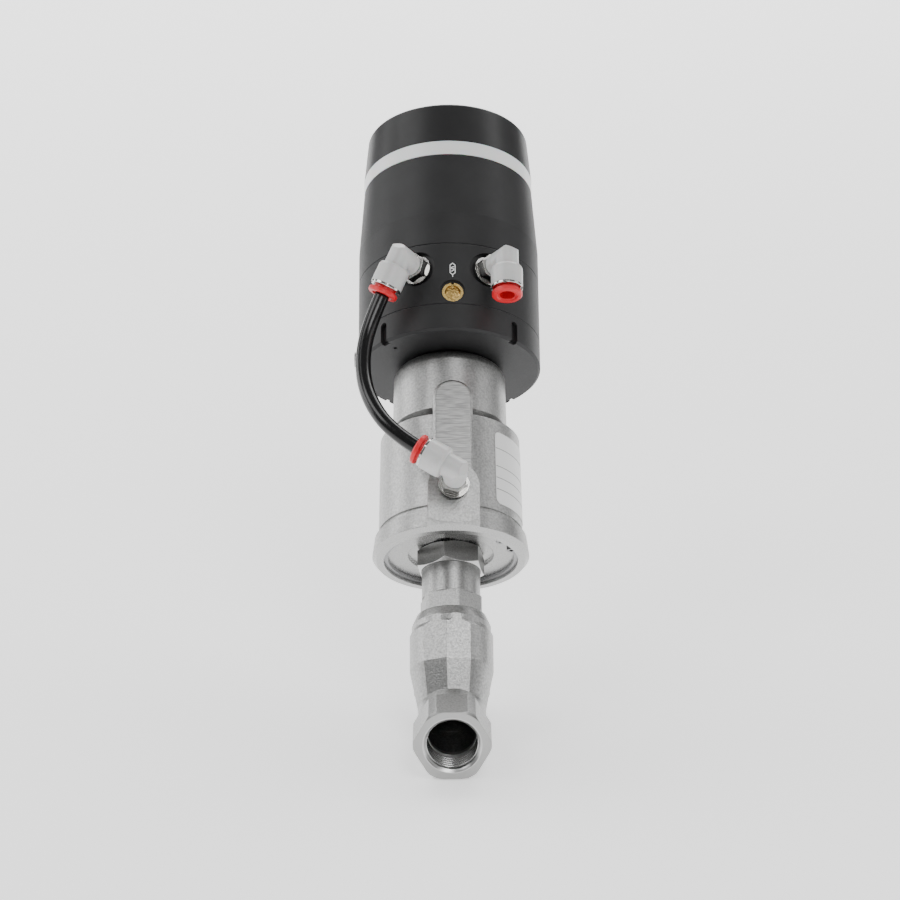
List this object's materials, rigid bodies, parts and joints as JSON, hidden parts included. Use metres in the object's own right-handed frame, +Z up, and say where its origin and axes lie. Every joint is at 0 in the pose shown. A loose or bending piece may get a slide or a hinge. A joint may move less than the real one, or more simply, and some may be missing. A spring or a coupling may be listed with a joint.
{
  "type": "angle seat valve",
  "caption": "Piston-operated angle seat valve with threaded hexagon ports, spring-return actuator, round electropneumatic head, push-in elbows and an air tube.",
  "frame": {"origin": "centre of the inlet port's face", "axes": "+Y along the pipe from inlet to outlet, +Z up, +X to the right seen from the inlet; the stem rises towards +Y and +Z at 45 degrees"},
  "size_m": [0.0748, 0.2348, 0.2143],
  "materials": {
    "cast_stainless": "blasted investment casting, stainless steel 316L",
    "machined_stainless": "turned stainless steel",
    "spring_steel": "drawn spring wire",
    "aluminium": "turned aluminium",
    "nickel_brass": "nickel-plated brass",
    "brass": "turned brass",
    "sintered_bronze": "sintered bronze granules",
    "ptfe": "white PTFE",
    "filled_ptfe": "carbon-filled PTFE",
    "seal_rubber": "moulded FKM",
    "fibre_gasket": "pressed fibre gasket sheet",
    "black_polyamide": "fine-textured moulded polyamide, black",
    "light_diffuser": "milky translucent polycarbonate",
    "elbow_polymer": "light grey moulded PBT",
    "release_red": "red moulded acetal",
    "tube_black": "extruded black polyurethane",
    "circuit_board": "solder-masked glass fibre board",
    "coil_body": "overmoulded coil, black",
    "magnet": "sintered magnet"
  },
  "bodies": {
    "valve": {"valve_body": "cast_stainless", "bonnet": "machined_stainless", "bonnet_gasket": "fibre_gasket", "guide_bush": "filled_ptfe", "packing_springs": "spring_steel", "packing_rings": "ptfe", "packing_follower": "filled_ptfe", "packing_gland": "machined_stainless", "stem_wiper": "filled_ptfe", "clamp_nut": "machined_stainless", "neck_ring": "spring_steel"},
    "actuator": {"actuator_housing": "cast_stainless", "end_plate": "machined_stainless", "end_plate_seal": "seal_rubber", "neck_seal": "seal_rubber", "circlip": "spring_steel", "main_spring": "spring_steel", "head_base": "black_polyamide", "base_screws": "machined_stainless", "earth_screw": "machined_stainless", "port_ring": "black_polyamide", "silencer": "brass", "silencer_core": "sintered_bronze", "connector": "nickel_brass", "connector_insert": "coil_body", "head_shell": "black_polyamide", "control_board": "circuit_board", "pilot_valves": "coil_body", "position_sensor": "coil_body", "fitting_studs": "nickel_brass", "fitting_washers": "seal_rubber", "transfer_elbow": "elbow_polymer", "actuator_elbow": "elbow_polymer", "tube_fitting_rings": "nickel_brass", "tube_seals": "seal_rubber", "air_tube": "tube_black"},
    "stem": {"stem": "machined_stainless", "plug": "machined_stainless", "plug_seal": "ptfe", "plug_nut": "machined_stainless", "piston": "aluminium", "piston_seal": "seal_rubber", "piston_guide_ring": "filled_ptfe", "piston_nut": "machined_stainless", "feedback_rod": "machined_stainless", "magnet": "magnet"},
    "supply_elbow": {"supply_elbow": "elbow_polymer", "supply_ring": "nickel_brass", "supply_seal": "seal_rubber"},
    "supply_collar": {"supply_collar": "release_red"},
    "transfer_collar": {"transfer_collar": "release_red"},
    "actuator_collar": {"actuator_collar": "release_red"},
    "cover_seal": {"cover_o_ring": "seal_rubber"},
    "cover": {"cover_cap": "black_polyamide", "light_ring": "light_diffuser"}
  },
  "joints": [
    {"name": "actuator_turn", "type": "hinge", "parent": "valve", "child": "actuator", "pos_m": [0, 0.034, 0], "axis": [0, 0.7071, 0.7071], "continuous": true},
    {"name": "stem_travel", "type": "slide", "parent": "valve", "child": "stem", "axis": [0, 0.7071, 0.7071], "range_m": [0, 0.008], "stiffness_N_per_m": 4000, "springref_m": -0.02, "deforming": ["main_spring"]},
    {"name": "supply_swivel", "type": "hinge", "parent": "actuator", "child": "supply_elbow", "pos_m": [0.01453, 0.13463, 0.14431], "axis": [0.5948, -0.5684, 0.5684], "continuous": true},
    {"name": "supply_collar_press", "type": "slide", "parent": "supply_elbow", "child": "supply_collar", "axis": [0, 0.7071, 0.7071], "range_m": [0, 0.001], "stiffness_N_per_m": 500, "springref_m": -0.001},
    {"name": "transfer_collar_press", "type": "slide", "parent": "actuator", "child": "transfer_collar", "axis": [0.4263, 0.4276, 0.7971], "range_m": [0, 0.001], "stiffness_N_per_m": 500, "springref_m": -0.001},
    {"name": "actuator_collar_press", "type": "slide", "parent": "actuator", "child": "actuator_collar", "axis": [0.8564, -0.3377, -0.3906], "range_m": [0, 0.001], "stiffness_N_per_m": 500, "springref_m": -0.001},
    {"name": "cover_lift", "type": "slide", "parent": "actuator", "child": "cover_seal", "axis": [0, 0.7071, 0.7071], "range_m": [0, 0.00605]},
    {"name": "cover_turn", "type": "hinge", "parent": "cover_seal", "child": "cover", "pos_m": [0, 0.034, 0], "axis": [0, 0.7071, 0.7071], "range_deg": [0, 270]}
  ],
  "couplings": [
    {"joint": "cover_lift", "follows": "cover_turn", "m_per_rad": 0.0012732}
  ]
}
